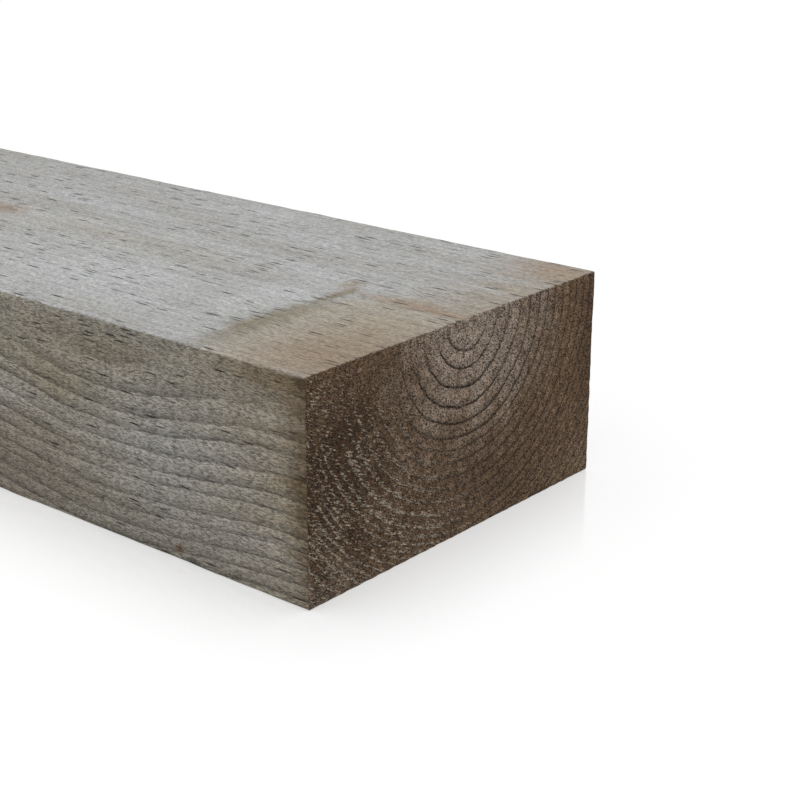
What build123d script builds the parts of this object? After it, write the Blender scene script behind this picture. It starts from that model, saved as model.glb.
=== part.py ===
"""Railway sleeper of sawn softwood: one solid balk of timber, lying on its wide face.

The section is a plain rectangle. The four long edges are sawn arrises that handling has softened
a little, the two ends are square cross cuts with crisper edges, and one top corner of the sawn
end has been knocked off. The origin is the centre of the face that the sleeper rests on. X runs
along the grain, Y across the width and Z up. All sizes are in millimetres.
"""

import os

from build123d import *

# The balk
length = 2400.0
width = 200.0
depth = 100.0

# Rounding of the long sawn edges and of the crisper edges round each cross cut
arris_radius = 1.0
end_edge_radius = 0.6

# The knocked corner: how far it reaches back along the length, in across the width and down
knock_along = 2.4
knock_across = 2.4
knock_down = 3.4


def knock_plane():
    """The plane that takes the corner off. It faces out of the timber."""
    corner = Vector(length / 2, -width / 2, depth)
    back = corner - Vector(knock_along, 0, 0)
    inward = corner + Vector(0, knock_across, 0)
    down = corner - Vector(0, 0, knock_down)
    outward = (down - back).cross(inward - back)
    return Plane(origin=back, z_dir=outward)


def end_edges(timber):
    """Every edge round the two cross-cut ends."""
    return timber.faces().filter_by(Axis.X).edges()


with BuildPart() as sleeper:
    with BuildSketch(Plane.YZ.offset(-length / 2)):
        with Locations((0, depth / 2)):
            Rectangle(width, depth)
    extrude(amount=length)
    split(bisect_by=knock_plane(), keep=Keep.BOTTOM)
    arrises = sleeper.edges() - end_edges(sleeper)
    fillet(arrises, radius=arris_radius)
    fillet(end_edges(sleeper), radius=end_edge_radius)

sleeper.part.label = "sleeper"

os.makedirs("parts", exist_ok=True)
export_step(sleeper.part, "parts/sleeper.step")
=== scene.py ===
"""The looks of a railway sleeper: a balk of rough-sawn softwood with one weathered, sawn end.

One closed mesh stands for the CAD solid. It is cut from a box of the same size, with softened
arrises and one knocked corner. Its surface is worked down, never out, by the relief of the growth
rings and of the rough saw. That relief and the two timber materials read the same growth rings,
which run round a pith that lies along the top face. Lengths in the frame are in metres, and the
timber's own patterns are in millimetres, measured from the pith at the sawn end.
"""

import math

import bmesh
import bpy
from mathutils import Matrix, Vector


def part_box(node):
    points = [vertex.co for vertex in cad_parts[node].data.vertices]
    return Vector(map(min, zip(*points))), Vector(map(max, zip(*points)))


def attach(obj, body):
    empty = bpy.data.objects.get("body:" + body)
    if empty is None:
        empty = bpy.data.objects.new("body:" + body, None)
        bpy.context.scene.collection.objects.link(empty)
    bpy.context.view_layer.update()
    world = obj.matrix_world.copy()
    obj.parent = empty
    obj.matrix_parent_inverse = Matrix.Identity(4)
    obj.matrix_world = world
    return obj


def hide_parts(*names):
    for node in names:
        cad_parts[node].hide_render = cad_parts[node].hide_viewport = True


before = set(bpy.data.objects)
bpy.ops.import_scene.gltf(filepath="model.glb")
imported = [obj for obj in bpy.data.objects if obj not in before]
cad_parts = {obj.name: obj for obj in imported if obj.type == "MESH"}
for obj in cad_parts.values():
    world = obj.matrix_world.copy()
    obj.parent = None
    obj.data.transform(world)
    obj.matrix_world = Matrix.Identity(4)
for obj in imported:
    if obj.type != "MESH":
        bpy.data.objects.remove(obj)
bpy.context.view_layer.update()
LOW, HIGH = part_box("sleeper")
SIZE = HIGH - LOW
MM = 0.001
SNAP = 0.01 * MM

# The pith, the centre of the growth rings, runs along the top face just off the middle
PITH_OFF_CENTRE = 2.5 * MM
PITH_AT_END = Vector((HIGH.x, (LOW.y + HIGH.y) / 2 + PITH_OFF_CENTRE, HIGH.z))

# Edges, in metres
ARRIS = 1.0 * MM
END_ARRIS = 0.6 * MM
EDGE_STEPS = 3
KNOCK_ALONG = 2.4 * MM
KNOCK_ACROSS = 2.4 * MM
KNOCK_DOWN = 3.4 * MM

# The cutting grid: its mesh across the grain, and its steps back from the sawn end
CROSS_STEP = 2.5 * MM
LONG_STEPS = [(1.25 * MM, 5 * MM), (2.5 * MM, 10 * MM), (5 * MM, 20 * MM), (8.5 * MM, 450 * MM),
              (22 * MM, 2372 * MM), (5 * MM, 2390 * MM), (2.5 * MM, 2397 * MM)]
FINE_REACH = 450 * MM

# How far a face leans towards one side before it counts as part of that side
SHOWN_LEAN = 0.3
END_LEAN = 0.75
SMOOTH_UP_TO = 45

# Outer radius of each growth ring in millimetres. The stem thickens round each whorl of branches.
RINGS = [6.5, 15, 22.5, 31, 39.5, 47, 54, 59.5, 65.5, 72, 77.5, 83, 89, 94.5, 98.5, 102, 105.2, 107.8, 111,
         115.1, 118.4, 123.3, 126.8, 131.7, 136.3, 141, 146, 150]
SWELL_SHARE = 0.048
SWELL_AT = -122.0
WHORL_SPACING = 248.0
WHORL_TURN = 2 * math.pi / WHORL_SPACING

# How far the rings wander and jog in millimetres, and how they bulge round a branch: the height of
# the bulge in millimetres, and where it ends in branch radii
RING_WANDER = 2.5
RING_JOG = 0.9
BULGE = 4
BULGE_END = 2.6

# Branches: distance back from the sawn end, direction round the pith in degrees (0 is +Y, 90 is
# up), lean towards the sawn end in degrees, radius and length, in millimetres
BRANCHES = [(-66, 180, 0, 4.5, 70), (-66, 20, -40, 2.2, 22), (-313, 8, 12, 4.0, 34),
            (-566, 205, 8, 9.0, 150), (-570, 330, 5, 8.0, 150), (-812, 268, 6, 10.0, 150),
            (-1062, 186, 10, 8.0, 150), (-1068, 300, 4, 9.0, 150), (-1310, 350, 8, 9.0, 150),
            (-1562, 240, 6, 8.0, 150), (-1806, 192, 8, 10.0, 150), (-1812, 320, 6, 7.0, 150),
            (-2056, 276, 6, 8.0, 150), (-2300, 346, 6, 9.0, 150)]

# A branch's thickness at the pith and at its tip, as shares of its radius, and a distance in radii
# that counts as far from all of them
BRANCH_TAPER = (0.5, 1.3)
FAR_FROM_BRANCH = 10

# Relief in millimetres: what the soft early wood has lost, and what the saw has chewed out
RING_WEAR = (0.10, 0.28)
SAW_WEAR = 0.3

# The share of the rings' wear on the ends, on the top, and on the sides close under the top
END_WEAR = 0.15
TOP_WEAR = 0.4
UNDER_TOP_WEAR = 0.2

# Sizes of the patterns in millimetres, along the grain and across it
RING_WANDER_SIZE = (340, 60)
RING_JOG_SIZE = (45, 9)
SAW_CHEW_SIZE = (22, 5)
CLOUD_SIZE = (120, 22)
STRAND_SIZE = (30, 1.5)
SAW_MARK_SIZE = (1.3, 30)
CREASE_GAP_SIZE = (26, 4)
FRAY_SIZE = (2, 1.2)
SPLIT_CLUSTER = (60, 24)
FACE_STAIN_DRAG = (45, 7)
END_STAIN_DRAG = (14, 14)

# A split's spacing in millimetres: along the grain, across it, and into the wood
SIDE_SPLIT = (14, 1.5, 9)
TOP_SPLIT = (17, 1.8, 9)

# Single fibres, about 0.03 mm thick, are too fine to show. Their flecks on the faces and the grit
# of the sawn end are drawn coarser, about as thick as a pixel of the render.
FIBRE_FLECK = (1.5, 0.42)
END_GRIT = (1, 0.70, 0.42)

# The torn tufts of the sawn end, in millimetres, and how far they slope down, in degrees
TUFT_SIZE = (2, 4.4, 0.72)
TUFT_SLOPE = 27

# Small blots and larger patches on the sawn end, in millimetres
BLOT_SIZE = 4
PATCH_SIZE = 20

# Directions on the sawn end, from the pith: to the torn wood, with where it starts and where it is
# fully torn in millimetres, and to the open seams
TORN_SIDE = (0, -0.75, -0.66)
TORN_REACH = (35, 85)
SEAM_SIDE = (0, -0.20, -0.98)

# Colours of the timber. A pair is the darkest and the lightest of its patches.
SILVER_GREY = ("#a09e9a", "#b2b3b3")
# The sides are browner than the top from weathering, and darker than it as painted shade
SIDE_BROWN_AND_SHADE = ("#878070", "#9b978f")
END_BROWN = ("#5f4a37", "#7d6853")
BRANCH_BROWN = "#7b7255"
FRAY_BROWN = "#43352a"
SPLIT_DARK = "#1f1a15"
RING_LINE = "#2f241a"
# The open seams' dark is painted shade
SEAM_SHADE = "#241a12"
TORN_TUFT = "#b5a896"

# Heights in millimetres from the top face: where the arris turns from side to top, and where the
# rings on the side fade as they near it
ARRIS_TURN = (-1.4, -0.4)
RING_FADE = (-34, -14)

# How strong the bands, creases and flecks are, on the sides and on the top
BAND = (0.20, 0.05)
CREASE = (-0.33, -0.10)
FLECK = (0.54, 0.32)

# Stains, and a few patches of painted light (shade on the side, a highlight on the top): centre and
# reach in millimetres from the pith at the sawn end, colour, strength, and the share of the reach
# inside which the colour is even
CUT_END_WARMTH = ((0, 0, -50), (42, 220, 220), "#93826a", 0.65, 0)
TOP_STAINS_AND_HIGHLIGHT = [
    CUT_END_WARMTH,
    ((-34, -56, 0), (34, 62, 8), "#a09686", 0.75, 0.70),
    ((-8, -78, 0), (44, 52, 8), "#8a7660", 0.65, 0),
    ((-14, 84, 0), (40, 18, 9), "#988069", 0.65, 0),
    ((-22, -1, 0), (54, 6, 5), "#8e7862", 0.58, 0.2),
    ((-110, -13, 0), (44, 6, 5), "#9d9799", 0.45, 0.2),
    ((-225, -3, 0), (130, 18, 5), "#a49d8e", 0.40, 0),
    ((-318, -2, 0), (26, 10, 6), "#8b6d48", 0.60, 0),
    # A pale cool patch over the near half of the top, back from the sawn end, is a painted highlight
    ((-190, -60, 0), (90, 60, 8), "#bbbdbd", 0.60, 0),
    ((-88, -34, 0), (20, 44, 8), "#bfc1c1", 0.50, 0.2),
    ((-63, -62, 0), (10, 58, 8), "#7b7564", 0.62, 0.2),
    ((-66, -8, 0), (4, 16, 8), "#7a6a4e", 0.60, 0.2),
    ((-72, 8, 0), (6, 11, 8), "#8f806a", 0.55, 0.2),
]
SIDE_STAINS_AND_SHADE = [
    CUT_END_WARMTH,
    ((-85, -102, -55), (60, 12, 46), "#9d9c98", 0.60, 0),
    ((-160, -102, -26), (50, 12, 14), "#88836c", 0.35, 0),
    ((-185, -102, -86), (44, 12, 14), "#7b6e68", 0.40, 0),
    ((-215, -102, -84), (90, 12, 40), "#796f62", 0.70, 0),
    ((-90, -102, -100), (170, 12, 30), "#6a6458", 0.50, 0),
    ((0, -102, -4), (56, 12, 16), "#6d5b40", 0.75, 0.1),
    ((0, -102, -47), (14, 12, 86), "#54432c", 0.85, 0),
    ((0, -102, -2), (10, 8, 5), "#45361f", 0.80, 0.2),
    ((-75, -102, -94), (4.5, 8, 2.6), "#6b4527", 0.75, 0),
    # Two near-black marks on the bottom arris are painted contact shade where the timber meets the floor
    ((-66, -102, -99), (7, 8, 2.4), "#2b2520", 0.85, 0),
    ((-84, -102, -99), (8, 8, 2.0), "#2b2520", 0.75, 0),
]
END_STAINS = [
    ((0, 8, -14), (30, 62, 52), "#a3968a", 0.72, 0),
    ((0, -90, -48), (30, 66, 68), "#3b291a", 0.92, 0),
    ((0, 8, -80), (30, 84, 28), "#46352a", 0.40, 0),
    ((0, -96, -98), (30, 34, 20), "#7a6c60", 0.55, 0),
    ((0, 92, -92), (30, 36, 24), "#86735f", 0.55, 0),
    ((0, 96, -30), (30, 16, 60), "#4f3c2c", 0.60, 0),
]

# A stain's ragged edge: how far it wobbles, the reach at which it wobbles in full, and where it ends
STAIN_WOBBLE = 13
FULL_WOBBLE_REACH = 14
STAIN_END = 1.25

# Camera at the photograph's viewing angle: place in metres, turn in degrees, lens in millimetres
CAMERA_PLACE = (1.6202, -0.5486, 0.3123)
CAMERA_TURN = (70.16, -0.18, 39.79)
CAMERA_LENS = 76.3

# Light: fill all round, and a broad light from overhead, leaning to the near side
FILL_LIGHT = 0.44
KEY_STRENGTH = 1.8
KEY_SPREAD = 80
KEY_FROM = (0.10, -0.30, 1)

# The paper: its width, the part of its white that shade can dim, a glow that carries it to white,
# and how strong the timber's reflection in it is and how far it reaches
PAPER_WIDTH = 60
PAPER_GREY = "#bcbcbc"
PAPER_SHADE = 0.30
PAPER_GLOW = 1.02 - PAPER_SHADE
REFLECTION = 0.25
REFLECTION_REACH = 60 * MM


def linear(hex_colour):
    """An sRGB hex colour as the linear colour that Blender works in."""
    shares = [int(hex_colour[i:i + 2], 16) / 255 for i in (1, 3, 5)]
    return [s / 12.92 if s <= 0.04045 else ((s + 0.055) / 1.055) ** 2.4 for s in shares] + [1.0]


def add(tree, kind, inputs=(), out=0, **settings):
    """Adds one node with its settings, and links or sets its inputs by place or name. Gives one of
    its outputs, or the node itself where out is None."""
    node = tree.nodes.new(kind)
    for name, value in settings.items():
        setattr(node, name, value)
    pairs = inputs.items() if isinstance(inputs, dict) else enumerate(inputs)
    for key, value in pairs:
        if isinstance(value, bpy.types.NodeSocket):
            tree.links.new(value, node.inputs[key])
        elif value is not None:
            node.inputs[key].default_value = value
    return node if out is None else node.outputs[out]


def per_mm(along, across, down=None):
    """The scale of a pattern whose features are so many millimetres long, wide and deep."""
    return 1 / along, 1 / across, 1 / (down or across)


def knot_field(tree, place):
    """Distance to the nearest branch, in branch radii."""
    nearest = FAR_FROM_BRANCH
    at_pith, at_tip = BRANCH_TAPER
    for station, turn, lean, radius, reach in BRANCHES:
        turn, lean = math.radians(turn), math.radians(lean)
        heading = Vector((math.sin(lean), math.cos(lean) * math.cos(turn), math.cos(lean) * math.sin(turn)))
        from_pith = add(tree, "ShaderNodeVectorMath", (place, (station, 0, 0)), operation="SUBTRACT")
        along = add(tree, "ShaderNodeVectorMath", (from_pith, heading), operation="DOT_PRODUCT", out=1)
        held = add(tree, "ShaderNodeClamp", (along, 0, reach))
        on_axis = add(tree, "ShaderNodeVectorMath", {0: heading, "Scale": held}, operation="SCALE")
        gap = add(tree, "ShaderNodeVectorMath", (from_pith, on_axis), operation="DISTANCE", out=1)
        thickness = add(tree, "ShaderNodeMapRange", (held, 0, reach, at_pith * radius, at_tip * radius))
        share = add(tree, "ShaderNodeMath", (gap, thickness), operation="DIVIDE")
        nearest = add(tree, "ShaderNodeMath", (nearest, share), operation="MINIMUM")
    return nearest


def growth_rings(tree, place, knot):
    """The distance from the pith, and the count of rings from the pith out as its whole and part."""
    moved = place
    for size, detail, far in ((RING_WANDER_SIZE, 1, RING_WANDER), (RING_JOG_SIZE, 2, RING_JOG)):
        wave_at = add(tree, "ShaderNodeVectorMath", (place, per_mm(*size)), operation="MULTIPLY")
        wave = add(tree, "ShaderNodeTexNoise", {"Vector": wave_at, "Scale": 1, "Detail": detail}, out=1)
        shift = add(tree, "ShaderNodeVectorMath", (wave, (0, 2 * far, 2 * far), (0, -far, -far)),
                    operation="MULTIPLY_ADD")
        moved = add(tree, "ShaderNodeVectorMath", (moved, shift), operation="ADD")
    spoke = add(tree, "ShaderNodeVectorMath", (moved, (0, 1, 1)), operation="MULTIPLY")
    radius = add(tree, "ShaderNodeVectorMath", (spoke,), operation="LENGTH", out=1)
    back = add(tree, "ShaderNodeSeparateXYZ", (place,))
    turn = add(tree, "ShaderNodeMath", (back, WHORL_TURN, -WHORL_TURN * SWELL_AT), operation="MULTIPLY_ADD")
    wave = add(tree, "ShaderNodeMath", (turn,), operation="COSINE")
    shrink = add(tree, "ShaderNodeMapRange", (wave, -1, 1, 1, 1 - SWELL_SHARE))
    grown = add(tree, "ShaderNodeMath", (radius, shrink), operation="MULTIPLY")
    by_knot = add(tree, "ShaderNodeMapRange", (knot, 1, BULGE_END, BULGE, 0),
                  interpolation_type="SMOOTHSTEP")
    grown = add(tree, "ShaderNodeMath", (grown, by_knot), operation="ADD")
    share = add(tree, "ShaderNodeMath", (grown, RINGS[-1]), operation="DIVIDE")
    curve = add(tree, "ShaderNodeFloatCurve", {"Value": share})
    points = curve.node.mapping.curves[0].points
    points[1].location = (1, 1)
    for number, outer in enumerate(RINGS[:-1], start=1):
        points.new(outer / RINGS[-1], number / len(RINGS))
    for point in points:
        point.handle_type = "VECTOR"
    curve.node.mapping.update()
    count = add(tree, "ShaderNodeMath", (curve, len(RINGS)), operation="MULTIPLY")
    whole = add(tree, "ShaderNodeMath", (count,), operation="FLOOR")
    part = add(tree, "ShaderNodeMath", (count, whole), operation="SUBTRACT")
    return radius, whole, part


def latewood(tree, part):
    """The dense, dark part of each ring: it builds up slowly and ends sharply."""
    rise = add(tree, "ShaderNodeMapRange", (part, 0.35, 0.9, 0, 1), interpolation_type="SMOOTHSTEP")
    fall = add(tree, "ShaderNodeMapRange", (part, 0.93, 1.0, 1, 0), interpolation_type="SMOOTHSTEP")
    return add(tree, "ShaderNodeMath", (rise, fall), operation="MULTIPLY")


def timber_place(tree, position):
    """A point of the timber in millimetres from the pith at the sawn end."""
    from_pith = add(tree, "ShaderNodeVectorMath", (position, PITH_AT_END), operation="SUBTRACT")
    return add(tree, "ShaderNodeVectorMath", {0: from_pith, "Scale": 1 / MM}, operation="SCALE")


def deselect_all():
    """Leaves nothing selected, because an operator acts on all that is."""
    for thing in bpy.context.selected_objects:
        thing.select_set(False)


def pick_edges(timber, wanted):
    """Selects the edges of the mesh in edit mode that pass a test."""
    bpy.ops.mesh.select_mode(type="EDGE")
    bpy.ops.mesh.select_all(action="DESELECT")
    mesh = bmesh.from_edit_mesh(timber.data)
    for edge in mesh.edges:
        if wanted(edge):
            edge.select = True
    mesh.select_flush_mode()
    bmesh.update_edit_mesh(timber.data)


def cut_grid(axis, places):
    """Cuts the whole mesh along planes at right angles to one axis."""
    normal = [0, 0, 0]
    normal[axis] = 1
    for place in places:
        spot = [0, 0, 0]
        spot[axis] = place
        bpy.ops.mesh.select_all(action="SELECT")
        bpy.ops.mesh.bisect(plane_co=spot, plane_no=normal)


def sawn_balk():
    """The squared balk with its arrises, its knocked corner and a cutting grid for the relief."""
    deselect_all()
    bpy.ops.mesh.primitive_cube_add(size=1, location=(LOW + HIGH) / 2, scale=SIZE)
    timber = bpy.context.object
    timber.name = timber.data.name = "sleeper_timber"
    bpy.ops.object.transform_apply(location=True, rotation=True, scale=True)
    bpy.ops.object.mode_set(mode="EDIT")

    corner = Vector((HIGH.x, LOW.y, HIGH.z))
    back = corner - Vector((KNOCK_ALONG, 0, 0))
    inward = corner + Vector((0, KNOCK_ACROSS, 0))
    down = corner - Vector((0, 0, KNOCK_DOWN))
    outward = (down - back).cross(inward - back).normalized()
    bpy.ops.mesh.select_all(action="SELECT")
    bpy.ops.mesh.bisect(plane_co=back, plane_no=outward, use_fill=True, clear_outer=True)

    def on_end(edge):
        near, far = (v.co.x for v in edge.verts)
        return abs(near - far) < SNAP and min(HIGH.x - near, near - LOW.x) < SNAP

    pick_edges(timber, lambda edge: not on_end(edge))
    bpy.ops.mesh.bevel(offset=ARRIS, segments=EDGE_STEPS, offset_type="OFFSET", profile=0.5, affect="EDGES")
    pick_edges(timber, on_end)
    bpy.ops.mesh.bevel(offset=END_ARRIS, segments=EDGE_STEPS, offset_type="OFFSET", profile=0.5,
                       affect="EDGES")
    bpy.ops.mesh.select_mode(type="FACE")

    for axis in (1, 2):
        steps = round(SIZE[axis] / CROSS_STEP)
        cut_grid(axis, [LOW[axis] + i * CROSS_STEP for i in range(1, steps)])
    back_from_end, stations = 0.0, []
    for step, until in LONG_STEPS:
        while back_from_end + step < until + SNAP:
            back_from_end += step
            stations.append(HIGH.x - back_from_end)
    cut_grid(0, stations)

    bpy.ops.mesh.select_all(action="DESELECT")
    mesh = bmesh.from_edit_mesh(timber.data)
    for face in mesh.faces:
        middle = face.calc_center_median()
        shown = middle.x > HIGH.x - FINE_REACH and max(face.normal.z, -face.normal.y) > SHOWN_LEAN
        on_an_end = min(HIGH.x - middle.x, middle.x - LOW.x) < END_ARRIS
        if shown or on_an_end:
            face.select = True
    bmesh.update_edit_mesh(timber.data)
    bpy.ops.mesh.subdivide(number_cuts=1, smoothness=0, ngon=True)
    bpy.ops.object.mode_set(mode="OBJECT")
    return timber


def relief_tree():
    """Geometry nodes that work the surface down along its normals."""
    tree = bpy.data.node_groups.new("sawn_relief", "GeometryNodeTree")
    tree.interface.new_socket("Geometry", in_out="INPUT", socket_type="NodeSocketGeometry")
    tree.interface.new_socket("Geometry", in_out="OUTPUT", socket_type="NodeSocketGeometry")
    mesh_in = add(tree, "NodeGroupInput")
    position = add(tree, "GeometryNodeInputPosition")
    normal = add(tree, "GeometryNodeInputNormal")
    place = timber_place(tree, position)
    knot = knot_field(tree, place)
    whole, part = growth_rings(tree, place, knot)[1:]
    late = latewood(tree, part)
    ring_luck = add(tree, "ShaderNodeTexWhiteNoise", {"W": whole}, noise_dimensions="1D")
    ring_depth = add(tree, "ShaderNodeMapRange", (ring_luck, 0, 1, *RING_WEAR))
    facing = add(tree, "ShaderNodeVectorMath", (normal,), operation="ABSOLUTE")
    high = add(tree, "ShaderNodeSeparateXYZ", (place,), out=2)
    side_share = add(tree, "ShaderNodeMapRange", (high, -20, -6, 1, UNDER_TOP_WEAR))
    shares = add(tree, "ShaderNodeCombineXYZ", (END_WEAR, side_share, TOP_WEAR))
    by_side = add(tree, "ShaderNodeVectorMath", (facing, shares), operation="DOT_PRODUCT", out=1)
    ring_depth = add(tree, "ShaderNodeMath", (ring_depth, by_side), operation="MULTIPLY")
    hollow = add(tree, "ShaderNodeMath", (1, late), operation="SUBTRACT")
    worn = add(tree, "ShaderNodeMath", (hollow, ring_depth), operation="MULTIPLY")
    rough_at = add(tree, "ShaderNodeVectorMath", (place, per_mm(*SAW_CHEW_SIZE)), operation="MULTIPLY")
    rough = add(tree, "ShaderNodeTexNoise", {"Vector": rough_at, "Scale": 1, "Detail": 2})
    chewed = add(tree, "ShaderNodeMapRange", (rough, 0.35, 0.75, 0, SAW_WEAR))
    depth = add(tree, "ShaderNodeMath", (worn, chewed), operation="ADD")
    inward = add(tree, "ShaderNodeMath", (depth, -MM), operation="MULTIPLY")
    offset = add(tree, "ShaderNodeVectorMath", {0: normal, "Scale": inward}, operation="SCALE")
    moved = add(tree, "GeometryNodeSetPosition", {"Geometry": mesh_in, "Offset": offset})
    add(tree, "NodeGroupOutput", (moved,), out=None)
    return tree


def weather(timber):
    """Wears the growth rings and the roughness of the saw into the mesh."""
    relief = timber.modifiers.new("relief", "NODES")
    relief.node_group = relief_tree()
    bpy.context.view_layer.objects.active = timber
    bpy.ops.object.modifier_apply(modifier=relief.name)
    timber.select_set(True)
    bpy.ops.object.shade_smooth_by_angle(angle=math.radians(SMOOTH_UP_TO))


def new_material(name):
    """A material with no nodes yet, and its node tree."""
    material = bpy.data.materials.new(name)
    material.use_nodes = True
    material.node_tree.nodes.clear()
    return material, material.node_tree


def stains_and_painted_light(tree, place, colour, stain_and_light_patches, drag):
    """Soft patches laid over a colour, each a blurred ellipsoid with an edge that the grain drags."""
    blot_at = add(tree, "ShaderNodeVectorMath", (place, per_mm(*drag)), operation="MULTIPLY")
    blot = add(tree, "ShaderNodeTexNoise", {"Vector": blot_at, "Scale": 1, "Detail": 3}, out=1)
    spread = add(tree, "ShaderNodeVectorMath", (blot, [2 * STAIN_WOBBLE] * 3, [-STAIN_WOBBLE] * 3),
                 operation="MULTIPLY_ADD")
    for centre, reach, tint, strength, even in stain_and_light_patches:
        wobble = add(tree, "ShaderNodeVectorMath", {0: spread, "Scale": min(reach) / FULL_WOBBLE_REACH},
                     operation="SCALE")
        moved = add(tree, "ShaderNodeVectorMath", (place, wobble), operation="ADD")
        offset = add(tree, "ShaderNodeVectorMath", (moved, centre), operation="SUBTRACT")
        inside = add(tree, "ShaderNodeVectorMath", (offset, reach), operation="DIVIDE")
        away = add(tree, "ShaderNodeVectorMath", (inside,), operation="LENGTH", out=1)
        patch = add(tree, "ShaderNodeMapRange", (away, even, STAIN_END, strength, 0),
                    interpolation_type="SMOOTHSTEP")
        colour = add(tree, "ShaderNodeMix", {0: patch, 6: colour, 7: linear(tint)}, out=2, data_type="RGBA")
    return colour


def torn_fibres(tree, place, high):
    """Short dark splits along the grain, where the saw tore out a few fibres. They come in clusters."""
    # The top and the underside take their splits from one set of cells, and the sides from another
    half_depth = SIZE.z / 2 / MM
    from_middle = add(tree, "ShaderNodeMath", (high, half_depth), operation="ADD")
    from_middle = add(tree, "ShaderNodeMath", (from_middle,), operation="ABSOLUTE")
    lying = add(tree, "ShaderNodeMapRange", (from_middle, half_depth - 1.2, half_depth - 0.4, 0, 1))
    axes = add(tree, "ShaderNodeSeparateXYZ", (place,), out=None).outputs
    turned = add(tree, "ShaderNodeCombineXYZ", (axes[0], axes[2], axes[1]))
    upright = add(tree, "ShaderNodeVectorMath", (turned, per_mm(*SIDE_SPLIT)), operation="MULTIPLY")
    flat = add(tree, "ShaderNodeVectorMath", (place, per_mm(*TOP_SPLIT)), operation="MULTIPLY")
    cell_at = add(tree, "ShaderNodeMix", {0: lying, 4: upright, 5: flat}, out=1, data_type="VECTOR")
    cells = add(tree, "ShaderNodeTexVoronoi", {"Vector": cell_at, "Scale": 1}, out=None).outputs
    luck = add(tree, "ShaderNodeSeparateColor", (cells["Color"],), out=None).outputs

    # A split opens in some of the cells: in more of them in a cluster, high on the sides and on top
    cluster_at = add(tree, "ShaderNodeVectorMath", (place, per_mm(*SPLIT_CLUSTER)), operation="MULTIPLY")
    cluster = add(tree, "ShaderNodeTexNoise", {"Vector": cluster_at, "Scale": 1, "Detail": 1})
    under_top = add(tree, "ShaderNodeMapRange", (high, -60, -10, -0.05, 0.17))
    crowd = add(tree, "ShaderNodeMath", (lying, -0.07, under_top), operation="MULTIPLY_ADD")
    crowd = add(tree, "ShaderNodeMath", (crowd, cluster), operation="ADD")
    limit = add(tree, "ShaderNodeMapRange", (crowd, 0.42, 0.70, 0.97, 0.38))
    present = add(tree, "ShaderNodeMath", (luck[0], limit), operation="GREATER_THAN")
    strength = add(tree, "ShaderNodeMapRange", (luck[1], 0, 0.8, 0.3, 1))
    strength = add(tree, "ShaderNodeMath", (strength, present), operation="MULTIPLY")
    split = add(tree, "ShaderNodeMapRange", (cells["Distance"], 0.18, 0.34, 1, 0),
                interpolation_type="SMOOTHSTEP")
    return add(tree, "ShaderNodeMath", (split, strength), operation="MULTIPLY")


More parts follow.
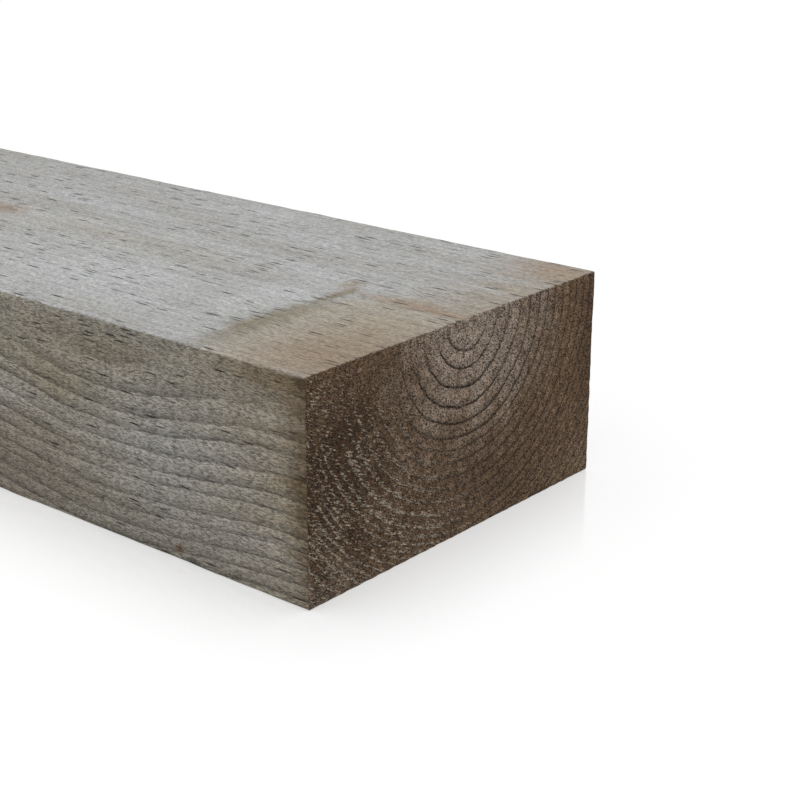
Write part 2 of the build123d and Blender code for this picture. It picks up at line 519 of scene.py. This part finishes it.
def face_grain():
    """Weathered sawn softwood: silver grey on top and browner below, the sides also darkened with painted
    shade, furred by the saw, with ridged latewood lines, torn dark splits, and warm unweathered wood
    at the cut end and round the knots."""
    material, tree = new_material("weathered_sawn_softwood")
    position = add(tree, "ShaderNodeTexCoord", out="Object")
    place = timber_place(tree, position)
    knot = knot_field(tree, place)
    whole, part = growth_rings(tree, place, knot)[1:]
    ring_luck = add(tree, "ShaderNodeTexWhiteNoise", {"W": whole}, noise_dimensions="1D")
    high = add(tree, "ShaderNodeSeparateXYZ", (place,), out=2)
    top = add(tree, "ShaderNodeMapRange", (high, *ARRIS_TURN, 0, 1), interpolation_type="SMOOTHSTEP")

    # Patterns for the colour and the bump
    cloud_at = add(tree, "ShaderNodeVectorMath", (place, per_mm(*CLOUD_SIZE)), operation="MULTIPLY")
    cloud = add(tree, "ShaderNodeTexNoise", {"Vector": cloud_at, "Scale": 1, "Detail": 3})
    fur_at = add(tree, "ShaderNodeVectorMath", (place, per_mm(*FIBRE_FLECK)), operation="MULTIPLY")
    fleck = add(tree, "ShaderNodeTexVoronoi", {"Vector": fur_at, "Scale": 1}, out=1)
    fur = add(tree, "ShaderNodeSeparateColor", (fleck,))
    strand_at = add(tree, "ShaderNodeVectorMath", (place, per_mm(*STRAND_SIZE)), operation="MULTIPLY")
    strand = add(tree, "ShaderNodeTexNoise", {"Vector": strand_at, "Scale": 1, "Detail": 1})
    saw_at = add(tree, "ShaderNodeVectorMath", (place, per_mm(*SAW_MARK_SIZE)), operation="MULTIPLY")
    saw = add(tree, "ShaderNodeTexNoise", {"Vector": saw_at, "Scale": 1, "Detail": 0})
    gap_at = add(tree, "ShaderNodeVectorMath", (place, per_mm(*CREASE_GAP_SIZE)), operation="MULTIPLY")
    gap = add(tree, "ShaderNodeTexNoise", {"Vector": gap_at, "Scale": 1, "Detail": 1})
    split = torn_fibres(tree, place, high)

    # Clouded brown sides, darker with painted shade, and a clouded silver top, each with its stains
    # and a few patches of painted light, and a tint round the branches
    cloud = add(tree, "ShaderNodeMapRange", (cloud, 0.30, 0.70, 0, 1))
    faces = []
    for (dark, pale), stain_and_light_patches in ((SIDE_BROWN_AND_SHADE, SIDE_STAINS_AND_SHADE), (SILVER_GREY, TOP_STAINS_AND_HIGHLIGHT)):
        wood = add(tree, "ShaderNodeMix", {0: cloud, 6: linear(dark), 7: linear(pale)}, out=2,
                   data_type="RGBA")
        faces.append(stains_and_painted_light(tree, place, wood, stain_and_light_patches, FACE_STAIN_DRAG))
    colour = add(tree, "ShaderNodeMix", {0: top, 6: faces[0], 7: faces[1]}, out=2, data_type="RGBA")
    branch = add(tree, "ShaderNodeMapRange", (knot, 0.0, 1.5, 0.25, 0), interpolation_type="SMOOTHSTEP")
    colour = add(tree, "ShaderNodeMix", {0: branch, 6: colour, 7: linear(BRANCH_BROWN)}, out=2,
                 data_type="RGBA")

    # Across each ring: a pale band of early wood, a darker ridge, and a fine dark crease at its edge
    ridge = add(tree, "ShaderNodeMapRange", (part, 0.45, 0.85, 0, 1), interpolation_type="SMOOTHSTEP")
    early = add(tree, "ShaderNodeMapRange", (part, 0.10, 0.55, 1, 0), interpolation_type="SMOOTHSTEP")
    crease = add(tree, "ShaderNodeMapRange", (part, 0.84, 0.95, 0, 1), interpolation_type="SMOOTHSTEP")
    unbroken = add(tree, "ShaderNodeMapRange", (gap, 0.38, 0.55, 0.1, 1))
    clear = add(tree, "ShaderNodeMapRange", (high, *RING_FADE, 1, 0.2), interpolation_type="SMOOTHSTEP")
    clear = add(tree, "ShaderNodeMath", (clear, top), operation="MAXIMUM")
    for share in (unbroken, clear):
        crease = add(tree, "ShaderNodeMath", (crease, share), operation="MULTIPLY")
    crease_depth = add(tree, "ShaderNodeMapRange", (top, 0, 1, *CREASE))
    crease_tone = add(tree, "ShaderNodeMath", (crease, crease_depth, 1), operation="MULTIPLY_ADD")
    band = add(tree, "ShaderNodeMapRange", (top, 0, 1, *BAND))
    band_luck = add(tree, "ShaderNodeMapRange", (ring_luck, 0, 1, 0.6, 1.2))
    for share in (clear, band_luck):
        band = add(tree, "ShaderNodeMath", (band, share), operation="MULTIPLY")
    banded = add(tree, "ShaderNodeMath", (early, ridge), operation="SUBTRACT")
    band_tone = add(tree, "ShaderNodeMath", (banded, band, 1), operation="MULTIPLY_ADD")

    # Flecks, strands, saw marks, bands and creases, each as a share that dims or lifts the colour
    fur_dark = add(tree, "ShaderNodeMapRange", (top, 0, 1, *(1 - share for share in FLECK)))
    fur_light = add(tree, "ShaderNodeMapRange", (top, 0, 1, *(1 + share for share in FLECK)))
    tone = add(tree, "ShaderNodeMapRange", (fur, 0, 1, fur_dark, fur_light))
    strand_tone = add(tree, "ShaderNodeMapRange", (strand, 0.25, 0.75, 0.92, 1.08))
    saw_tone = add(tree, "ShaderNodeMapRange", (saw, 0.25, 0.75, 0.95, 1.05))
    for share in (strand_tone, saw_tone, band_tone, crease_tone):
        tone = add(tree, "ShaderNodeMath", (tone, share), operation="MULTIPLY")
    colour = add(tree, "ShaderNodeVectorMath", {0: colour, "Scale": tone}, operation="SCALE")

    # Fibres frayed by the cross cut carry its brown a little way back along the faces
    along = add(tree, "ShaderNodeSeparateXYZ", (place,))
    tatter_at = add(tree, "ShaderNodeVectorMath", (place, per_mm(*FRAY_SIZE)), operation="MULTIPLY")
    tatter = add(tree, "ShaderNodeTexNoise", {"Vector": tatter_at, "Scale": 1, "Detail": 2})
    reach = add(tree, "ShaderNodeMapRange", (tatter, 0.45, 0.72, -0.1, -1.6))
    fray = add(tree, "ShaderNodeMath", (along, reach), operation="SUBTRACT")
    fray = add(tree, "ShaderNodeMapRange", (fray, 0, 0.4, 0, 0.85), interpolation_type="SMOOTHSTEP")
    colour = add(tree, "ShaderNodeMix", {0: fray, 6: colour, 7: linear(FRAY_BROWN)}, out=2,
                 data_type="RGBA")

    dark_split = add(tree, "ShaderNodeMath", (split, 0.95), operation="MULTIPLY")
    colour = add(tree, "ShaderNodeMix", {0: dark_split, 6: colour, 7: linear(SPLIT_DARK)}, out=2,
                 data_type="RGBA")

    # Raised fibres, ridges and strands, and sunken splits
    height = 0
    for pattern, share in ((fur, 0.25), (ridge, 0.4), (strand, 0.4), (split, -0.8)):
        height = add(tree, "ShaderNodeMath", (pattern, share, height), operation="MULTIPLY_ADD")
    bump = add(tree, "ShaderNodeBump", {"Strength": 0.6, "Distance": 0.4 * MM, "Height": height})
    shader = add(tree, "ShaderNodeBsdfPrincipled", {"Base Color": colour, "Roughness": 0.88,
                                                    "Specular IOR Level": 0.25, "Normal": bump})
    add(tree, "ShaderNodeOutputMaterial", (shader,), out=None)
    return material


def end_grain():
    """Sawn end grain: dark brown and gritty, with fine dark ring lines, open seams round the pith that
    are darkened with painted shade, and light torn tufts that the saw has combed to one side."""
    material, tree = new_material("sawn_softwood_end_grain")
    position = add(tree, "ShaderNodeTexCoord", out="Object")
    place = timber_place(tree, position)
    knot = knot_field(tree, place)
    radius, whole, part = growth_rings(tree, place, knot)
    late = latewood(tree, part)
    ring_luck = add(tree, "ShaderNodeTexWhiteNoise", {"W": whole}, noise_dimensions="1D")

    # Grit and torn tufts slope to the side that the saw combed them to
    combed = add(tree, "ShaderNodeVectorRotate", {"Vector": place, "Angle": math.radians(TUFT_SLOPE)},
                 rotation_type="X_AXIS")
    grit_at = add(tree, "ShaderNodeVectorMath", (combed, per_mm(*END_GRIT)), operation="MULTIPLY")
    grain = add(tree, "ShaderNodeTexVoronoi", {"Vector": grit_at, "Scale": 1}, out=1)
    grit = add(tree, "ShaderNodeSeparateColor", (grain,))
    blot = add(tree, "ShaderNodeTexNoise", {"Vector": place, "Scale": 1 / BLOT_SIZE, "Detail": 1})
    patch = add(tree, "ShaderNodeTexNoise", {"Vector": place, "Scale": 1 / PATCH_SIZE, "Detail": 3})
    tuft_at = add(tree, "ShaderNodeVectorMath", (combed, per_mm(*TUFT_SIZE)), operation="MULTIPLY")
    tuft = add(tree, "ShaderNodeTexNoise", {"Vector": tuft_at, "Scale": 1, "Detail": 1, "Roughness": 0.7})

    # The tufts lift on the torn side, most of all in the pale patches and on the late wood of a ring
    torn_side = add(tree, "ShaderNodeVectorMath", (place, TORN_SIDE), operation="DOT_PRODUCT", out=1)
    torn = add(tree, "ShaderNodeMapRange", (torn_side, *TORN_REACH, 0, 1), interpolation_type="SMOOTHSTEP")
    spoke = add(tree, "ShaderNodeVectorMath", (place, (0, 1, 1)), operation="MULTIPLY")
    heading = add(tree, "ShaderNodeVectorMath", (spoke,), operation="NORMALIZE")
    open_side = add(tree, "ShaderNodeVectorMath", (heading, SEAM_SIDE), operation="DOT_PRODUCT", out=1)
    below = add(tree, "ShaderNodeMapRange", (open_side, 0.25, 0.80, 0.25, 1),
                interpolation_type="SMOOTHSTEP")
    on_ring = add(tree, "ShaderNodeMath", (late, below), operation="MULTIPLY")
    lifted = add(tree, "ShaderNodeMath", (on_ring, 0.17, tuft), operation="MULTIPLY_ADD")
    lifted = add(tree, "ShaderNodeMath", (patch, 0.30, lifted), operation="MULTIPLY_ADD")
    raised = add(tree, "ShaderNodeMapRange", (lifted, 0.71, 0.86, 0, 0.58), interpolation_type="SMOOTHSTEP")
    light = add(tree, "ShaderNodeMath", (raised, torn), operation="MULTIPLY")

    # Stained brown patches, with a fine dark line at the edge of each ring
    dark, pale = END_BROWN
    colour = add(tree, "ShaderNodeMix", {0: patch, 6: linear(dark), 7: linear(pale)}, out=2,
                 data_type="RGBA")
    colour = stains_and_painted_light(tree, place, colour, END_STAINS, END_STAIN_DRAG)
    line = add(tree, "ShaderNodeMapRange", (ring_luck, 0, 1, 0.45, 0.75))
    narrow = add(tree, "ShaderNodeMapRange", (part, 0.58, 0.92, 0, 1), interpolation_type="SMOOTHSTEP")
    outward = add(tree, "ShaderNodeMapRange", (radius, 15, 45, 0.4, 1))
    across = add(tree, "ShaderNodeSeparateXYZ", (place,), out=1)
    far_side = add(tree, "ShaderNodeMapRange", (across, -50, 10, 0.25, 1))
    for share in (narrow, late, outward, far_side):
        line = add(tree, "ShaderNodeMath", (line, share), operation="MULTIPLY")
    colour = add(tree, "ShaderNodeMix", {0: line, 6: colour, 7: linear(RING_LINE)}, out=2, data_type="RGBA")

    # Rings that have come apart below the pith, their open seams darkened with painted shade
    seam = add(tree, "ShaderNodeMapRange", (part, 0.84, 0.92, 0, 1), interpolation_type="SMOOTHSTEP")
    core = add(tree, "ShaderNodeMapRange", (radius, 40, 70, 0.90, 0.40), interpolation_type="SMOOTHSTEP")
    off_pith = add(tree, "ShaderNodeMapRange", (radius, 7, 12, 0, 1))
    broken = add(tree, "ShaderNodeMapRange", (blot, 0.34, 0.54, 0.4, 1))
    for share in (core, off_pith, below, broken):
        seam = add(tree, "ShaderNodeMath", (seam, share), operation="MULTIPLY")
    colour = add(tree, "ShaderNodeMix", {0: seam, 6: colour, 7: linear(SEAM_SHADE)}, out=2, data_type="RGBA")

    # Grit, small blots and light tufts over the rest
    speck = add(tree, "ShaderNodeMapRange", (grit, 0, 1, 0.05, 1.95))
    mottle = add(tree, "ShaderNodeMapRange", (blot, 0.30, 0.70, 0.74, 1.26))
    speck = add(tree, "ShaderNodeMath", (speck, mottle), operation="MULTIPLY")
    colour = add(tree, "ShaderNodeMix", {0: light, 6: colour, 7: linear(TORN_TUFT)}, out=2,
                 data_type="RGBA")
    colour = add(tree, "ShaderNodeVectorMath", {0: colour, "Scale": speck}, operation="SCALE")

    # Raised grit and tufts, and sunken seams
    height = 0
    for pattern, share in ((grit, 0.5), (light, 1.2), (seam, -1)):
        height = add(tree, "ShaderNodeMath", (pattern, share, height), operation="MULTIPLY_ADD")
    bump = add(tree, "ShaderNodeBump", {"Strength": 0.8, "Distance": 0.5 * MM, "Height": height})
    shader = add(tree, "ShaderNodeBsdfPrincipled", {"Base Color": colour, "Roughness": 0.92,
                                                    "Specular IOR Level": 0.2, "Normal": bump})
    add(tree, "ShaderNodeOutputMaterial", (shader,), out=None)
    return material


def dress(timber):
    """Face grain all round, and end grain on the two ends."""
    timber.data.materials.append(face_grain())
    timber.data.materials.append(end_grain())
    for face in timber.data.polygons:
        face.material_index = 1 if abs(face.normal.x) > END_LEAN else 0


def seen_directly(tree):
    """1 where the camera sees a surface itself, or in a polished or a clear one, and 0 elsewhere."""
    path = add(tree, "ShaderNodeLightPath", out=None).outputs
    seen = add(tree, "ShaderNodeMath", (path["Is Camera Ray"], path["Is Glossy Ray"]), operation="MAXIMUM")
    return add(tree, "ShaderNodeMath", (seen, path["Is Transmission Ray"]), operation="MAXIMUM")


def seamless_paper():
    """White studio paper: white to the camera, with a soft shadow and a reflection that fades from
    the timber outwards."""
    material, tree = new_material("white_studio_paper")
    paper = add(tree, "ShaderNodeBsdfPrincipled", {"Base Color": linear(PAPER_GREY), "Roughness": 0.6})
    matt = add(tree, "ShaderNodeBsdfDiffuse", {"Color": (PAPER_SHADE, PAPER_SHADE, PAPER_SHADE, 1)})
    glow = add(tree, "ShaderNodeEmission", {"Color": (1, 1, 1, 1), "Strength": PAPER_GLOW})
    white = add(tree, "ShaderNodeAddShader", (matt, glow))
    gloss = add(tree, "ShaderNodeBsdfGlossy", {"Color": (1, 1, 1, 1), "Roughness": 0.1})
    open_sky = add(tree, "ShaderNodeAmbientOcclusion", {"Distance": REFLECTION_REACH}, out=1, samples=8)
    near = add(tree, "ShaderNodeMapRange", (open_sky, 0.5, 1, REFLECTION, 0))
    shown = add(tree, "ShaderNodeMixShader", (near, white, gloss))
    both = add(tree, "ShaderNodeMixShader", (seen_directly(tree), paper, shown))
    add(tree, "ShaderNodeOutputMaterial", (both,), out=None)
    return material


def studio():
    """Floor, soft light and camera."""
    deselect_all()
    bpy.ops.mesh.primitive_plane_add(size=PAPER_WIDTH, location=(0, 0, LOW.z))
    floor = bpy.context.object
    floor.name = "studio_floor"
    floor.data.materials.append(seamless_paper())

    world = bpy.data.worlds.new("studio")
    world.use_nodes = True
    bpy.context.scene.world = world
    tree = world.node_tree
    tree.nodes.clear()
    strength = add(tree, "ShaderNodeMapRange", (seen_directly(tree), 0, 1, FILL_LIGHT, 1))
    sky = add(tree, "ShaderNodeBackground", {"Color": (1, 1, 1, 1), "Strength": strength})
    add(tree, "ShaderNodeOutputWorld", (sky,), out=None)

    lamp = bpy.data.lights.new("overhead_light", "SUN")
    lamp.energy = KEY_STRENGTH
    lamp.angle = math.radians(KEY_SPREAD)
    key = bpy.data.objects.new("overhead_light", lamp)
    key.rotation_euler = Vector(KEY_FROM).to_track_quat("Z", "Y").to_euler()
    bpy.context.scene.collection.objects.link(key)

    lens = bpy.data.cameras.new("camera")
    lens.lens = CAMERA_LENS
    lens.clip_start = 0.01
    camera = bpy.data.objects.new("camera", lens)
    camera.location = CAMERA_PLACE
    camera.rotation_euler = [math.radians(a) for a in CAMERA_TURN]
    bpy.context.scene.collection.objects.link(camera)
    bpy.context.scene.camera = camera
    bpy.context.scene.view_settings.view_transform = "Standard"


timber = sawn_balk()
weather(timber)
dress(timber)
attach(timber, "root")
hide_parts("sleeper")
studio()
